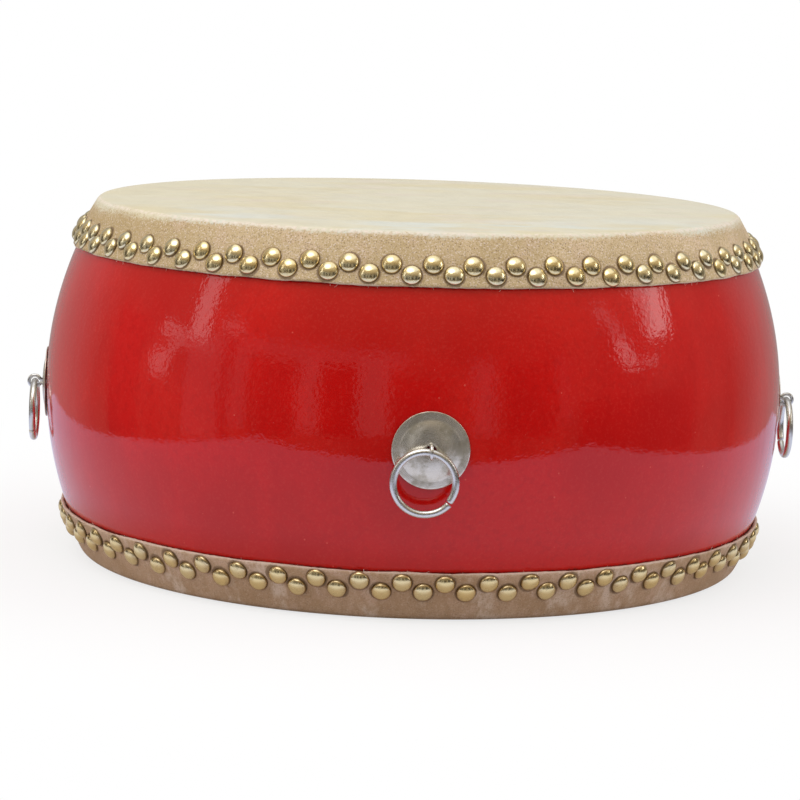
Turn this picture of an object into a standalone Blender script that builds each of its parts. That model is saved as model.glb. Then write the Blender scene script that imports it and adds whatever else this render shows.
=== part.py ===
"""A flat Chinese drum: a low barrel of glued staves with a nailed hide on each mouth and four pull rings.

Metres, +Z up. The origin is the centre of the lower drum face, and the front ring faces -Y.
"""

import math

import bmesh
import bpy
from mathutils import Matrix, Vector

# Shell: staves cut to one bow and glued edge to edge
BELLY_RADIUS = 0.262
BELLY_HEIGHT = 0.1178
BOW_RADIUS = 0.249
SHELL_HEIGHT = 0.2456
SHELL_WALL = 0.018
MOUTH_ROUNDING = 0.0035
STAVE_COUNT = 28
FACETS_PER_STAVE = 2
GLUE_LINE = 0.0003

# Hides: stretched over each mouth, folded down the wall and nailed
HIDE_THICKNESS = 0.0025
HIDE_CLEARANCE = 0.0003
SKIRT_DEPTH = 0.0335

# Nails: two staggered rows of brass domes on each hide
NAIL_PHASE = math.radians(-1.85)
FACE_ROW_DEPTH = 0.0204
EDGE_ROW_DEPTH = 0.0269
ROW_STAGGER = 0.25
NAIL_DIAMETER = 0.0134
NAIL_DOME = 0.0042
NAIL_SHOULDER_DIAMETER = 0.0094
NAIL_SHOULDER_RISE = 0.0029
NAIL_SINK = 0.0008
NAIL_SIDES = 6

# Ring plates: pressed steel discs with a domed middle and a flat rim
RING_SIDES = ("front", "right", "back", "left")
RING_SET_HEIGHT = 0.1158
PLATE_DIAMETER = 0.050
PLATE_SHEET = 0.001
PLATE_RIM_WIDTH = 0.0052
PLATE_DOME = 0.0024
PLATE_DOME_FULLNESS = 0.78
PLATE_LIP = 0.0006
PLATE_CLEARANCE = 0.0003
PLATE_HOLE_DIAMETER = 0.0072

# Eye pins: one bent wire each, an eye outside and two legs clinched inside the wall
PIN_WIRE = 0.0024
EYE_HOLE_DIAMETER = 0.0062
EYE_STANDOFF = 0.0090
LEG_GAP = 0.0003
CLINCH_LENGTH = 0.012
CLINCH_BEND = 0.002
PIN_CLEARANCE = 0.0004

# Pull rings: split rings that hang in the eyes
RING_DIAMETER = 0.0446
RING_WIRE = 0.0048
RING_CLEARANCE = 0.0003
RING_SPLIT = 0.002
RING_SPLIT_ANGLE = math.radians(-38)
RING_LEAN = {"front": math.radians(-11), "right": 0.0, "back": 0.0, "left": 0.0}

# Fineness of the facets
ROUNDING_STEPS = 2
BOW_STEPS = 6
BORE_STEPS = 4
PLATE_SEGMENTS = 20
EYE_POINTS = 14
BEND_POINTS = 3
RING_SEGMENTS = 24
HOLE_SIDES = 12
SHARP_ANGLE = math.radians(35)
MERGE_DISTANCE = 1e-6

# Finishes, in linear colour
LACQUER_RED = (0.55, 0.015, 0.012)
HIDE_CREAM = (0.80, 0.70, 0.52)
STEEL_GREY = (0.62, 0.62, 0.63)

# Derived places
HIDE_OFFSET = HIDE_CLEARANCE + HIDE_THICKNESS
HEIGHT = SHELL_HEIGHT + 2 * HIDE_OFFSET
MOUTHS = {"top": HIDE_OFFSET + SHELL_HEIGHT, "bottom": HIDE_OFFSET}
BOW_CENTRE = BELLY_RADIUS - BOW_RADIUS
NAILS_PER_ROW = STAVE_COUNT * FACETS_PER_STAVE
NAIL_PITCH = 2 * math.pi / NAILS_PER_ROW
STAVE_ANGLE = 2 * math.pi / STAVE_COUNT
FACET_START = NAIL_PHASE
FACET_DROP = BELLY_RADIUS * (1 - math.cos(NAIL_PITCH / 2))
EYE_RADIUS = (EYE_HOLE_DIAMETER + PIN_WIRE) / 2
EYE_REACH = BELLY_RADIUS + EYE_STANDOFF
LEG_OFFSET = (PIN_WIRE + LEG_GAP) / 2
PIN_HOLE_RADIUS = LEG_OFFSET + PIN_WIRE / 2 + PIN_CLEARANCE
DRILL_LENGTH = 3 * SHELL_WALL
RING_RADIUS = (RING_DIAMETER - RING_WIRE) / 2


def material(name, colour, roughness, metallic):
    """A Principled material of one colour."""
    made = bpy.data.materials.new(name)
    made.use_nodes = True
    shader = made.node_tree.nodes["Principled BSDF"]
    shader.inputs["Base Color"].default_value = (*colour, 1)
    shader.inputs["Roughness"].default_value = roughness
    shader.inputs["Metallic"].default_value = metallic
    made.diffuse_color = (*colour, 1)
    return made


def mesh_object(name, bm, finish=None):
    """Turns a bmesh into a named object with its faces pointing out."""
    bmesh.ops.recalc_face_normals(bm, faces=bm.faces)
    mesh = bpy.data.meshes.new(name)
    bm.to_mesh(mesh)
    bm.free()
    mesh.shade_smooth()
    mesh.set_sharp_from_angle(angle=SHARP_ANGLE)
    made = bpy.data.objects.new(name, mesh)
    bpy.context.scene.collection.objects.link(made)
    if finish:
        mesh.materials.append(finish)
    return made


def cutter(name, bm):
    """A helper for a Boolean, left out of the model."""
    made = mesh_object(name, bm)
    made.hide_render = True
    made.display_type = "WIRE"
    return made


def boolean(target, operation, tool):
    """Adds an exact Boolean of a helper to an object."""
    modifier = target.modifiers.new(tool.name, "BOOLEAN")
    modifier.operation = operation
    modifier.object = tool
    modifier.solver = "EXACT"


def wire_object(name, points, diameter, bevel_resolution, finish):
    """A round wire with closed ends along a list of points."""
    curve = bpy.data.curves.new(name, "CURVE")
    curve.dimensions = "3D"
    curve.bevel_depth = diameter / 2
    curve.bevel_resolution = bevel_resolution
    curve.use_fill_caps = True
    spline = curve.splines.new("POLY")
    spline.points.add(len(points) - 1)
    for point, place in zip(spline.points, points):
        point.co = (*place, 1)
    curve.materials.append(finish)
    made = bpy.data.objects.new(name, curve)
    bpy.context.scene.collection.objects.link(made)
    return made


def wall_radius(z, offset=0.0):
    """Radius of the bowed wall at a height, or of the surface that far outside it."""
    rise = z - BELLY_HEIGHT
    return BOW_CENTRE + math.sqrt((BOW_RADIUS + offset) ** 2 - rise**2)


def rounding(mouth, offset=0.0):
    """(radius, height) points of a rounded mouth edge, from the mouth's plane to the bowed wall."""
    side = 1 if mouth == "top" else -1
    centre_z = MOUTHS[mouth] - side * MOUTH_ROUNDING
    centre_r = wall_radius(centre_z, -MOUTH_ROUNDING)
    last = math.atan2(abs(centre_z - BELLY_HEIGHT), centre_r - BOW_CENTRE)
    radius = MOUTH_ROUNDING + offset
    points = []
    for step in range(ROUNDING_STEPS + 1):
        angle = math.pi / 2 + (last - math.pi / 2) * step / ROUNDING_STEPS
        points.append((centre_r + radius * math.cos(angle), centre_z + side * radius * math.sin(angle)))
    return points


def face_height(mouth, depth):
    """Height of what lies at a depth from the drum face of that mouth."""
    return HEIGHT - depth if mouth == "top" else depth


def in_radial_plane(radius, z):
    """A profile point, in the plane of azimuth 0, which faces -Y."""
    return Vector((0, -radius, z))


def spread(first, last, steps):
    """Evenly spaced values from first to last, both included."""
    return [first + (last - first) * step / steps for step in range(steps + 1)]


def bore_points():
    """(radius, height) points of the shell's inside, from the bottom mouth to the top one."""
    return [(wall_radius(z, -SHELL_WALL), z) for z in spread(MOUTHS["bottom"], MOUTHS["top"], BORE_STEPS)]


def bore_radius(z):
    """Radius of the faceted inside at a height."""
    points = bore_points()
    for (low_r, low_z), (high_r, high_z) in zip(points, points[1:]):
        if z <= high_z:
            return low_r + (high_r - low_r) * (z - low_z) / (high_z - low_z)
    return points[-1][0]


def stave_profile():
    """Closed outline of a stave: the bow outside, the rounded mouth edges and the bore inside."""
    top_edge = face_height("top", SKIRT_DEPTH)
    bottom_edge = face_height("bottom", SKIRT_DEPTH)
    bow = [(wall_radius(z), z) for z in spread(top_edge, bottom_edge, BOW_STEPS)]
    return rounding("top") + bow + rounding("bottom")[::-1] + bore_points()


def make_stave(number, finish):
    """One stave: its outline turned through its share of the circle, less the glue line."""
    angle = STAVE_ANGLE - GLUE_LINE / BELLY_RADIUS
    bm = bmesh.new()
    outline = bm.faces.new([bm.verts.new(in_radial_plane(r, z)) for r, z in stave_profile()])
    bmesh.ops.spin(
        bm, geom=[outline], angle=angle, steps=FACETS_PER_STAVE, axis=(0, 0, 1), cent=(0, 0, 0)
    )
    bmesh.ops.rotate(bm, verts=bm.verts, matrix=Matrix.Rotation(-angle / 2, 3, "Z"))
    stave = mesh_object(f"stave_{number + 1:02d}", bm, finish)
    stave.rotation_euler.z = stave_azimuth(number)
    return stave


def stave_azimuth(number):
    """Azimuth of a stave's middle. A facet edge lies at the nail phase from the front ring."""
    return FACET_START + STAVE_ANGLE * (number + (FACETS_PER_STAVE % 2) / 2)


def turned(profile, segments, closed):
    """A bmesh of a profile turned about Z. An open profile starts and ends on the axis."""
    bm = bmesh.new()
    verts = [bm.verts.new(in_radial_plane(r, z)) for r, z in profile]
    edges = [bm.edges.new(pair) for pair in zip(verts, verts[1:])]
    if closed:
        edges.append(bm.edges.new((verts[-1], verts[0])))
    bmesh.ops.spin(
        bm, geom=verts + edges, angle=2 * math.pi, steps=segments, axis=(0, 0, 1), cent=(0, 0, 0)
    )
    bmesh.ops.remove_doubles(bm, verts=bm.verts, dist=MERGE_DISTANCE)
    return bm


def head_profile(mouth):
    """Outline of a hide, from the middle of its outer face round its cut edge to the middle of its inner face."""
    edge_z = face_height(mouth, SKIRT_DEPTH)
    outer = rounding(mouth, HIDE_OFFSET)
    inner = rounding(mouth, HIDE_CLEARANCE)
    cut_edge = [(wall_radius(edge_z, HIDE_OFFSET), edge_z), (wall_radius(edge_z, HIDE_CLEARANCE), edge_z)]
    return [(0, outer[0][1])] + outer + cut_edge + inner[::-1] + [(0, inner[0][1])]


def nail_frame(mouth, depth, azimuth, share):
    """Where a nail is seated: on the flat of a skirt facet, a share of the facet's width from its middle."""
    band_top = rounding(mouth, HIDE_OFFSET)[-1]
    edge_z = face_height(mouth, SKIRT_DEPTH)
    band_edge = (wall_radius(edge_z, HIDE_OFFSET), edge_z)
    z = face_height(mouth, depth)
    part = (z - band_top[1]) / (band_edge[1] - band_top[1])
    radius = band_top[0] + part * (band_edge[0] - band_top[0])
    side = Vector((1, 0, 0))
    down = (in_radial_plane(*band_edge) - in_radial_plane(*band_top)).normalized()
    out = side.cross(down)
    if out.y > 0:
        out = -out
    seat = in_radial_plane(radius * math.cos(NAIL_PITCH / 2), z)
    seat += side * share * 2 * radius * math.sin(NAIL_PITCH / 2)
    frame = Matrix((side, out.cross(side), out)).transposed().to_4x4()
    return Matrix.Rotation(azimuth, 4, "Z") @ Matrix.Translation(seat) @ frame


def add_nail(bm, frame):
    """A domed nail head, its foot sunk a little into the hide."""
    shoulder = (NAIL_SHOULDER_DIAMETER / 2, NAIL_SHOULDER_RISE)
    slope = (NAIL_DIAMETER / 2 - shoulder[0]) / shoulder[1]
    foot = (NAIL_DIAMETER / 2 + slope * NAIL_SINK, -NAIL_SINK)
    loops = []
    for radius, height in (foot, shoulder):
        corners = [2 * math.pi * side / NAIL_SIDES for side in range(NAIL_SIDES)]
        points = [Vector((radius * math.cos(a), radius * math.sin(a), height)) for a in corners]
        loops.append([bm.verts.new(frame @ point) for point in points])
    crown = bm.verts.new(frame @ Vector((0, 0, NAIL_DOME)))
    lower, upper = loops
    bm.faces.new(lower[::-1])
    for here in range(NAIL_SIDES):
        there = (here + 1) % NAIL_SIDES
        bm.faces.new((lower[here], lower[there], upper[there], upper[here]))
        bm.faces.new((upper[here], upper[there], crown))


def make_head(mouth, finish):
    """One hide with its two rows of nails."""
    bm = turned(head_profile(mouth), NAILS_PER_ROW, closed=False)
    bmesh.ops.rotate(bm, verts=bm.verts, matrix=Matrix.Rotation(FACET_START, 3, "Z"))
    head = mesh_object(f"{mouth}_head", bm, finish)
    nails = bmesh.new()
    for facet in range(NAILS_PER_ROW):
        azimuth = FACET_START + NAIL_PITCH * (facet + 0.5)
        add_nail(nails, nail_frame(mouth, FACE_ROW_DEPTH, azimuth, -ROW_STAGGER))
        add_nail(nails, nail_frame(mouth, EDGE_ROW_DEPTH, azimuth, ROW_STAGGER))
    boolean(head, "UNION", cutter(f"{mouth}_nails", nails))
    return head


def plate_seat():
    """Distance from the drum's axis to the back of a plate's rim, which rests on the bulge of the wall."""
    rim_inside = PLATE_DIAMETER / 2 - PLATE_RIM_WIDTH
    beside = math.sqrt(BELLY_RADIUS**2 - rim_inside**2)
    above = wall_radius(RING_SET_HEIGHT + rim_inside)
    return max(beside, above) + PLATE_CLEARANCE


def plate_profile():
    """(radius, height) outline of a plate above the back of its rim: dome, rim, rolled lip, then the hollow back."""
    rim = PLATE_DIAMETER / 2
    foot = rim - PLATE_RIM_WIDTH
    hole = PLATE_HOLE_DIAMETER / 2
    middle = (foot + hole) / 2
    front = PLATE_SHEET
    return [
        (hole, front + PLATE_DOME),
        (middle, front + PLATE_DOME_FULLNESS * PLATE_DOME),
        (foot, front),
        (rim - PLATE_LIP, front),
        (rim, front - PLATE_LIP),
        (rim, 0),
        (foot, 0),
        (middle, PLATE_DOME_FULLNESS * PLATE_DOME),
        (hole, PLATE_DOME),
    ]


def outward(distance, side=0.0, up=0.0):
    """A point of a ring set before it is turned to its azimuth: distance from the drum's axis, sideways and up."""
    return Vector((side, -distance, up))


def make_plate(side, azimuth, finish):
    """The plate behind one ring."""
    bm = turned(plate_profile(), PLATE_SEGMENTS, closed=True)
    bmesh.ops.rotate(bm, verts=bm.verts, matrix=Matrix.Rotation(math.pi / 2, 3, "X"))
    plate = mesh_object(f"ring_plate_{side}", bm, finish)
    seat = outward(plate_seat(), up=RING_SET_HEIGHT)
    plate.location = Matrix.Rotation(azimuth, 3, "Z") @ seat
    plate.rotation_euler.z = azimuth
    return plate


def clinch_line(sign):
    """Points of one leg inside the wall, from the bend to its tip, as (distance from the axis, height)."""
    tip = LEG_OFFSET + CLINCH_BEND + CLINCH_LENGTH
    bore = min(bore_radius(RING_SET_HEIGHT + sign * tip), bore_radius(RING_SET_HEIGHT))
    lying = bore - FACET_DROP - PIN_CLEARANCE - PIN_WIRE / 2
    points = []
    for angle in spread(0.0, math.pi / 2, BEND_POINTS):
        distance = lying + CLINCH_BEND * (1 - math.sin(angle))
        height = LEG_OFFSET + CLINCH_BEND * (1 - math.cos(angle))
        points.append((distance, sign * height))
    points.append((lying, sign * tip))
    return points


def pin_points():
    """The wire of an eye pin, from one clinched tip round the eye to the other."""
    throat = math.asin(LEG_OFFSET / EYE_RADIUS)
    eye = []
    for angle in spread(math.pi + throat, 3 * math.pi - throat, EYE_POINTS):
        eye.append((EYE_REACH + EYE_RADIUS * math.cos(angle), EYE_RADIUS * math.sin(angle)))
    line = clinch_line(-1)[::-1] + eye + clinch_line(1)
    return [outward(distance, up=height) for distance, height in line]


def make_pin(side, azimuth, finish):
    """The eye pin of one ring."""
    pin = wire_object(f"eye_pin_{side}", pin_points(), PIN_WIRE, 1, finish)
    pin.location.z = RING_SET_HEIGHT
    pin.rotation_euler.z = azimuth
    return pin


def ring_drop(lean):
    """How far a ring's wire lies below the middle of its eye, where it rests on the eye's wire."""
    tilt = PIN_WIRE / 2 * math.tan(abs(lean))
    return (EYE_HOLE_DIAMETER - RING_WIRE) / 2 - RING_CLEARANCE - tilt


def ring_points(lean):
    """The wire of a pull ring about the point where the eye holds it, from one side of its split to the other."""
    gap = RING_SPLIT / RING_RADIUS
    start = RING_SPLIT_ANGLE + gap / 2
    centre = Vector((RING_RADIUS * math.sin(lean), 0, -RING_RADIUS * math.cos(lean)))
    points = []
    for angle in spread(start, start + 2 * math.pi - gap, RING_SEGMENTS):
        points.append(centre + RING_RADIUS * Vector((math.cos(angle), 0, math.sin(angle))))
    return points


def make_ring(side, azimuth, finish):
    """One pull ring. Its parent empty lies on the axis that it swings about."""
    pivot = bpy.data.objects.new(f"ring_pivot_{side}", None)
    bpy.context.scene.collection.objects.link(pivot)
    lean = RING_LEAN[side]
    hold = outward(EYE_REACH, up=RING_SET_HEIGHT - ring_drop(lean))
    pivot.location = Matrix.Rotation(azimuth, 3, "Z") @ hold
    pivot.rotation_euler.z = azimuth
    ring = wire_object(f"pull_ring_{side}", ring_points(lean), RING_WIRE, 2, finish)
    ring.parent = pivot
    return ring


def drill_for_pin(side, azimuth, staves):
    """Drills the wall for one eye pin, through each stave that the hole reaches."""
    bm = bmesh.new()
    bmesh.ops.create_cone(
        bm,
        cap_ends=True,
        segments=HOLE_SIDES,
        radius1=PIN_HOLE_RADIUS,
        radius2=PIN_HOLE_RADIUS,
        depth=DRILL_LENGTH,
    )
    bmesh.ops.rotate(bm, verts=bm.verts, matrix=Matrix.Rotation(math.pi / 2, 3, "X"))
    bmesh.ops.translate(bm, verts=bm.verts, vec=outward(BELLY_RADIUS - SHELL_WALL / 2, up=RING_SET_HEIGHT))
    bmesh.ops.rotate(bm, verts=bm.verts, matrix=Matrix.Rotation(azimuth, 3, "Z"))
    drill = cutter(f"pin_drill_{side}", bm)
    reach = STAVE_ANGLE / 2 + PIN_HOLE_RADIUS / (BELLY_RADIUS - SHELL_WALL)
    for number, stave in enumerate(staves):
        apart = (stave_azimuth(number) - azimuth + math.pi) % (2 * math.pi) - math.pi
        if abs(apart) < reach:
            boolean(stave, "DIFFERENCE", drill)


def main():
    """Builds the drum."""
    for old in list(bpy.data.objects):
        bpy.data.objects.remove(old)
    lacquer = material("red_lacquer", LACQUER_RED, roughness=0.22, metallic=0.0)
    hide = material("cowhide", HIDE_CREAM, roughness=0.6, metallic=0.0)
    steel = material("stainless_steel", STEEL_GREY, roughness=0.25, metallic=1.0)
    staves = [make_stave(number, lacquer) for number in range(STAVE_COUNT)]
    for mouth in MOUTHS:
        make_head(mouth, hide)
    for quarter, side in enumerate(RING_SIDES):
        azimuth = quarter * 2 * math.pi / len(RING_SIDES)
        drill_for_pin(side, azimuth, staves)
        make_plate(side, azimuth, steel)
        make_pin(side, azimuth, steel)
        make_ring(side, azimuth, steel)


main()
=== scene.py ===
"""Flat Chinese drum: a red lacquered barrel, two nailed cowhides and four steel pull rings.

Metres, +Z up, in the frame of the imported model. The front pull ring faces -Y.
"""

import logging
import math
import random
from collections.abc import Callable, Sequence
from dataclasses import dataclass
from enum import Enum

import bmesh
import bpy
from mathutils import Matrix, Vector, noise


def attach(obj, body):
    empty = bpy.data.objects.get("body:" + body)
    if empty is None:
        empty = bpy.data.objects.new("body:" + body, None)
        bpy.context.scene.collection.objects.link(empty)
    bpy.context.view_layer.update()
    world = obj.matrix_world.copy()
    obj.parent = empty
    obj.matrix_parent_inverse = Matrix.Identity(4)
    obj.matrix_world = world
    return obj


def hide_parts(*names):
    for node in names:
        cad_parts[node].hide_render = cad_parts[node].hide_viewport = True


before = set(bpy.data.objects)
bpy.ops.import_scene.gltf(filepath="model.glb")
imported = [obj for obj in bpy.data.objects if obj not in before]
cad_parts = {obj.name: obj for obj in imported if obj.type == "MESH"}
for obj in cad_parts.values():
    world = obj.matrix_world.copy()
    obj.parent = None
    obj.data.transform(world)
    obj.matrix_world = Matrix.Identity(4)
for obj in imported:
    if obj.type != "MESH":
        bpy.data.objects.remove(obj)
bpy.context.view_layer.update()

LOG = logging.getLogger("flat_drum")
ON_AXIS = 1e-6

Point = tuple[float, float]
Place = tuple[float, float, float]
Colour = tuple[float, float, float, float]
Socket = bpy.types.NodeSocket
Value = float | Sequence[float] | Socket
Inputs = dict[str | int, Value]
Corners = list[list[bmesh.types.BMVert]]

WHITE: Colour = (1, 1, 1, 1)
EVEN: Place = (1.0, 1.0, 1.0)
ACROSS: Place = (1.0, 2.0, 1.0)


class Mouth(Enum):
    """The two mouths of the barrel, with the sign of the way each one faces."""

    TOP = 1
    BOTTOM = -1

    @property
    def label(self) -> str:
        """The mouth's name in the names of pieces."""
        return self.name.lower()


class Row(Enum):
    """The two rows of nails round a hide."""

    FACE = "face"
    EDGE = "edge"


class RingSide(Enum):
    """The four ring sets, with their quarter of a turn from the front."""

    FRONT = 0
    RIGHT = 1
    BACK = 2
    LEFT = 3

    @property
    def label(self) -> str:
        """The side's name in the names of pieces and bodies."""
        return self.name.lower()

    @property
    def azimuth(self) -> float:
        """The side's angle about the drum's axis."""
        return self.value * math.pi / 2


def smooth_share(value: float, start: float, end: float) -> float:
    """A smooth step of a value, from 0 at its start to 1 at its end."""
    share = min(1.0, max(0.0, (value - start) / (end - start)))
    return share * share * (3 - 2 * share)


def bell(value: float, middle: float, width: float) -> float:
    """A bell curve of a value, 1 at its middle."""
    return math.exp(-(((value - middle) / width) ** 2))


def spread(first: float, last: float, steps: int) -> list[float]:
    """Evenly spaced values with a number of steps between them, both ends included."""
    return [first + (last - first) * step / steps for step in range(steps + 1)]


def turns(steps: int) -> list[float]:
    """The angles of equal steps in a full turn."""
    return [math.tau * step / steps for step in range(steps)]


def arc(centre: Point, radius: float, first: float, last: float, steps: int) -> list[Point]:
    """Points of a circular arc in a profile, from its first angle to its last."""
    angles = spread(first, last, steps)
    return [(centre[0] + radius * math.cos(a), centre[1] + radius * math.sin(a)) for a in angles]


def about_axis(radius: float, azimuth: float, height: float) -> Place:
    """The point at a radius, an azimuth from the front and a height."""
    return radius * math.sin(azimuth), -radius * math.cos(azimuth), height


@dataclass(frozen=True)
class DrumForm:
    """The bowed wall that the shell, the hides and the nails share."""

    belly_radius: float = 0.262
    belly_height: float = 0.1178
    bow_radius: float = 0.249
    shell_height: float = 0.2456
    wall: float = 0.018
    mouth_rounding: float = 0.0035
    hide_thickness: float = 0.0025
    hide_clearance: float = 0.0003
    skirt_depth: float = 0.0335
    nails_per_row: int = 56
    nail_phase: float = math.radians(-1.85)
    nail_diameter: float = 0.0134
    face_row_depth: float = 0.0204
    edge_row_depth: float = 0.0269
    ring_set_height: float = 0.1158

    @property
    def hide_offset(self) -> float:
        """How far the outside of a hide lies from the shell."""
        return self.hide_thickness + self.hide_clearance

    @property
    def height(self) -> float:
        """The drum's height over both hides."""
        return self.shell_height + 2 * self.hide_offset

    @property
    def nail_pitch(self) -> float:
        """The angle from one nail of a row to the next."""
        return math.tau / self.nails_per_row

    def row_depth(self, row: Row) -> float:
        """Distance of a row of nails from the drum face."""
        return self.face_row_depth if row is Row.FACE else self.edge_row_depth

    def row_start(self, row: Row) -> float:
        """Azimuth of a row's first nail: the rows stand half a pitch apart."""
        return self.nail_phase + self.nail_pitch * (0.25 if row is Row.FACE else 0.75)

    def level(self, mouth: Mouth, depth: float) -> float:
        """Height of what lies at a depth from the drum face of a mouth."""
        return self.height - depth if mouth is Mouth.TOP else depth

    def radius(self, height: float, offset: float = 0.0) -> float:
        """Radius of the wall at a height, or of the surface that lies an offset outside it."""
        rise = height - self.belly_height
        return self.belly_radius - self.bow_radius + math.sqrt((self.bow_radius + offset) ** 2 - rise**2)

    def wall_line(self, levels: Sequence[float], offset: float = 0.0) -> list[Point]:
        """(radius, height) points of the wall, or of a surface an offset outside it."""
        return [(self.radius(level, offset), level) for level in levels]

    def slope(self, height: float) -> float:
        """The angle by which the wall's outward normal points above the horizontal."""
        return math.asin((height - self.belly_height) / self.bow_radius)

    def rounding(self, mouth: Mouth, offset: float, steps: int) -> list[Point]:
        """The rounded edge of a mouth, from its flat to the bowed wall.

        Args:
            mouth: Which mouth.
            offset: Distance outside the shell.
            steps: How many steps the rounding has.

        Returns:
            (radius, height) points.
        """
        side = mouth.value
        centre_z = self.level(mouth, self.hide_offset) - side * self.mouth_rounding
        centre_r = self.radius(centre_z, -self.mouth_rounding)
        hub = self.belly_radius - self.bow_radius
        last = math.atan2(abs(centre_z - self.belly_height), centre_r - hub)
        points = arc((centre_r, 0.0), self.mouth_rounding + offset, math.pi / 2, last, steps)
        return [(r, centre_z + side * z) for r, z in points]


@dataclass(frozen=True)
class Patches:
    """Soft patches: how many to a metre, how fine and rough, how they fade in, and how much shows."""

    scale: float
    detail: float
    rough: float
    start: float
    end: float
    share: float = 1.0
    stretch: Place = EVEN


@dataclass(frozen=True)
class Spots:
    """Round spots: cells to a metre, a spot's radius as a share of its cell, and how many are filled."""

    scale: float
    size: float
    filled: float


class Graph:
    """A short way to lay out the shader nodes of one material or world."""

    def __init__(self, tree: bpy.types.NodeTree) -> None:
        """Clears a node tree, to be filled again."""
        tree.nodes.clear()
        self.tree = tree

    def add(self, kind: str, inputs: Inputs | None = None, **settings: object) -> bpy.types.Node:
        """Adds one node.

        Args:
            kind: The node's type, without its ShaderNode prefix.
            inputs: Values or sockets for its inputs.
            **settings: The node's own settings.

        Returns:
            The node.
        """
        node = self.tree.nodes.new("ShaderNode" + kind)
        for name, setting in settings.items():
            setattr(node, name, setting)
        for key, value in (inputs or {}).items():
            if isinstance(value, Socket):
                self.tree.links.new(value, node.inputs[key])
            else:
                node.inputs[key].default_value = value
        return node

    def place(self, stretch: Place = EVEN) -> Socket:
        """The piece's own coordinates, in metres, stretched along its axes."""
        own = self.add("TexCoord").outputs["Object"]
        return self.add("VectorMath", {0: own, 1: stretch}, operation="MULTIPLY").outputs[0]

    def axis(self, number: int) -> Socket:
        """One of the piece's own coordinates: 0 across, 1 away and 2 up."""
        return self.add("SeparateXYZ", {0: self.place()}).outputs[number]

    def math(self, operation: str, *values: Value) -> Socket:
        """One Math node's result."""
        return self.add("Math", dict(enumerate(values)), operation=operation).outputs[0]

    def times(self, first: Value, second: Value) -> Socket:
        """A product."""
        return self.math("MULTIPLY", first, second)

    def less(self, first: Value, second: Value) -> Socket:
        """A difference."""
        return self.math("SUBTRACT", first, second)

    def azimuth(self) -> Socket:
        """The angle about the drum's axis, from the front."""
        return self.math("ARCTAN2", self.axis(0), self.times(self.axis(1), -1.0))

    def grain(
        self, scale: float, detail: float = 2.0, rough: float = 0.5, place: Value | None = None
    ) -> Socket:
        """A cloudy pattern about 0.5.

        Args:
            scale: Clouds per metre.
            detail: Octaves of finer clouds.
            rough: Weight of the finer clouds.
            place: Its coordinates, if not the piece's own.

        Returns:
            The pattern's value.
        """
        where = self.place() if place is None else place
        settings = {"Vector": where, "Scale": scale, "Detail": detail, "Roughness": rough}
        return self.add("TexNoise", settings).outputs["Fac"]

    def wander(self, reach: float, scale: float, detail: float, rough: float = 0.5) -> Socket:
        """A cloudy pattern about 0, with its reach to either side."""
        return self.math("MULTIPLY_ADD", self.grain(scale, detail, rough), 2 * reach, -reach)

    def patches(self, kind: Patches) -> Socket:
        """How much of the patches shows."""
        grain = self.grain(kind.scale, kind.detail, kind.rough, self.place(kind.stretch))
        return self.fade(grain, kind.start, kind.end, 0.0, kind.share)

    def spots(self, kind: Spots) -> Socket:
        """Where small round spots lie.

        Args:
            kind: The spots.

        Returns:
            1 on a spot and 0 off it.
        """
        cells = self.add("TexVoronoi", {"Vector": self.place(), "Scale": kind.scale})
        inside = self.fade(cells.outputs["Distance"], kind.size, 0.6 * kind.size)
        pick = self.add("SeparateColor", {0: cells.outputs["Color"]}).outputs[0]
        return self.times(inside, self.math("LESS_THAN", pick, kind.filled))

    def fade(self, value: Value, start: float, end: float, low: float = 0.0, high: float = 1.0) -> Socket:
        """A value mapped smoothly, from low at its start to high at its end."""
        limits = {"Value": value, "From Min": start, "From Max": end, "To Min": low, "To Max": high}
        return self.add("MapRange", limits, interpolation_type="SMOOTHSTEP").outputs[0]

    def mix(self, share: Value, under: Value, over: Value) -> Socket:
        """A share of one colour over another."""
        return self.add("Mix", {0: share, 6: under, 7: over}, data_type="RGBA").outputs[2]

    def stain(self, colour: Value, kind: Patches, tint: Colour) -> Socket:
        """A colour with patches of a tint over it."""
        return self.mix(self.patches(kind), colour, tint)

    def mark(self, colour: Value, where: Value, strength: Value, tint: Colour) -> Socket:
        """A colour with a tint laid over it in one place, as strongly as asked."""
        return self.mix(self.times(where, strength), colour, tint)

    def relief(self, *layers: tuple[Value, float]) -> Socket:
        """A bumped normal.

        Args:
            *layers: Patterns from 0 to 1 with their depths in metres, each laid on the one before.

        Returns:
            The normal.
        """
        below: Inputs = {}
        for height, depth in layers:
            bump = self.add("Bump", {"Height": height, "Distance": depth, "Strength": 1.0, **below})
            below = {"Normal": bump.outputs[0]}
        return below["Normal"]

    def seen_directly(self) -> Socket:
        """Tells the rays that show a thing from those that light the drum.

        Returns:
            1 for camera, glossy and transmission rays, and 0 for the rest.
        """
        path = self.add("LightPath").outputs
        shiny = self.math("MAXIMUM", path["Is Glossy Ray"], path["Is Transmission Ray"])
        return self.math("MAXIMUM", path["Is Camera Ray"], shiny)

    def finish(self, shader: bpy.types.Node, output: str = "OutputMaterial") -> None:
        """Links a shader to the output."""
        self.tree.links.new(shader.outputs[0], self.add(output).inputs["Surface"])

    def surface(self, colour: Value, rough: Value, more: Inputs) -> None:
        """Ends the graph in one surface with a colour, a roughness and more inputs."""
        self.finish(self.add("BsdfPrincipled", {"Base Color": colour, "Roughness": rough, **more}))


def new_material(name: str) -> tuple[bpy.types.Material, Graph]:
    """Makes an empty material.

    Args:
        name: Its name.

    Returns:
        The material and its graph.
    """
    made = bpy.data.materials.new(name)
    made.use_nodes = True
    return made, Graph(made.node_tree)


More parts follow.
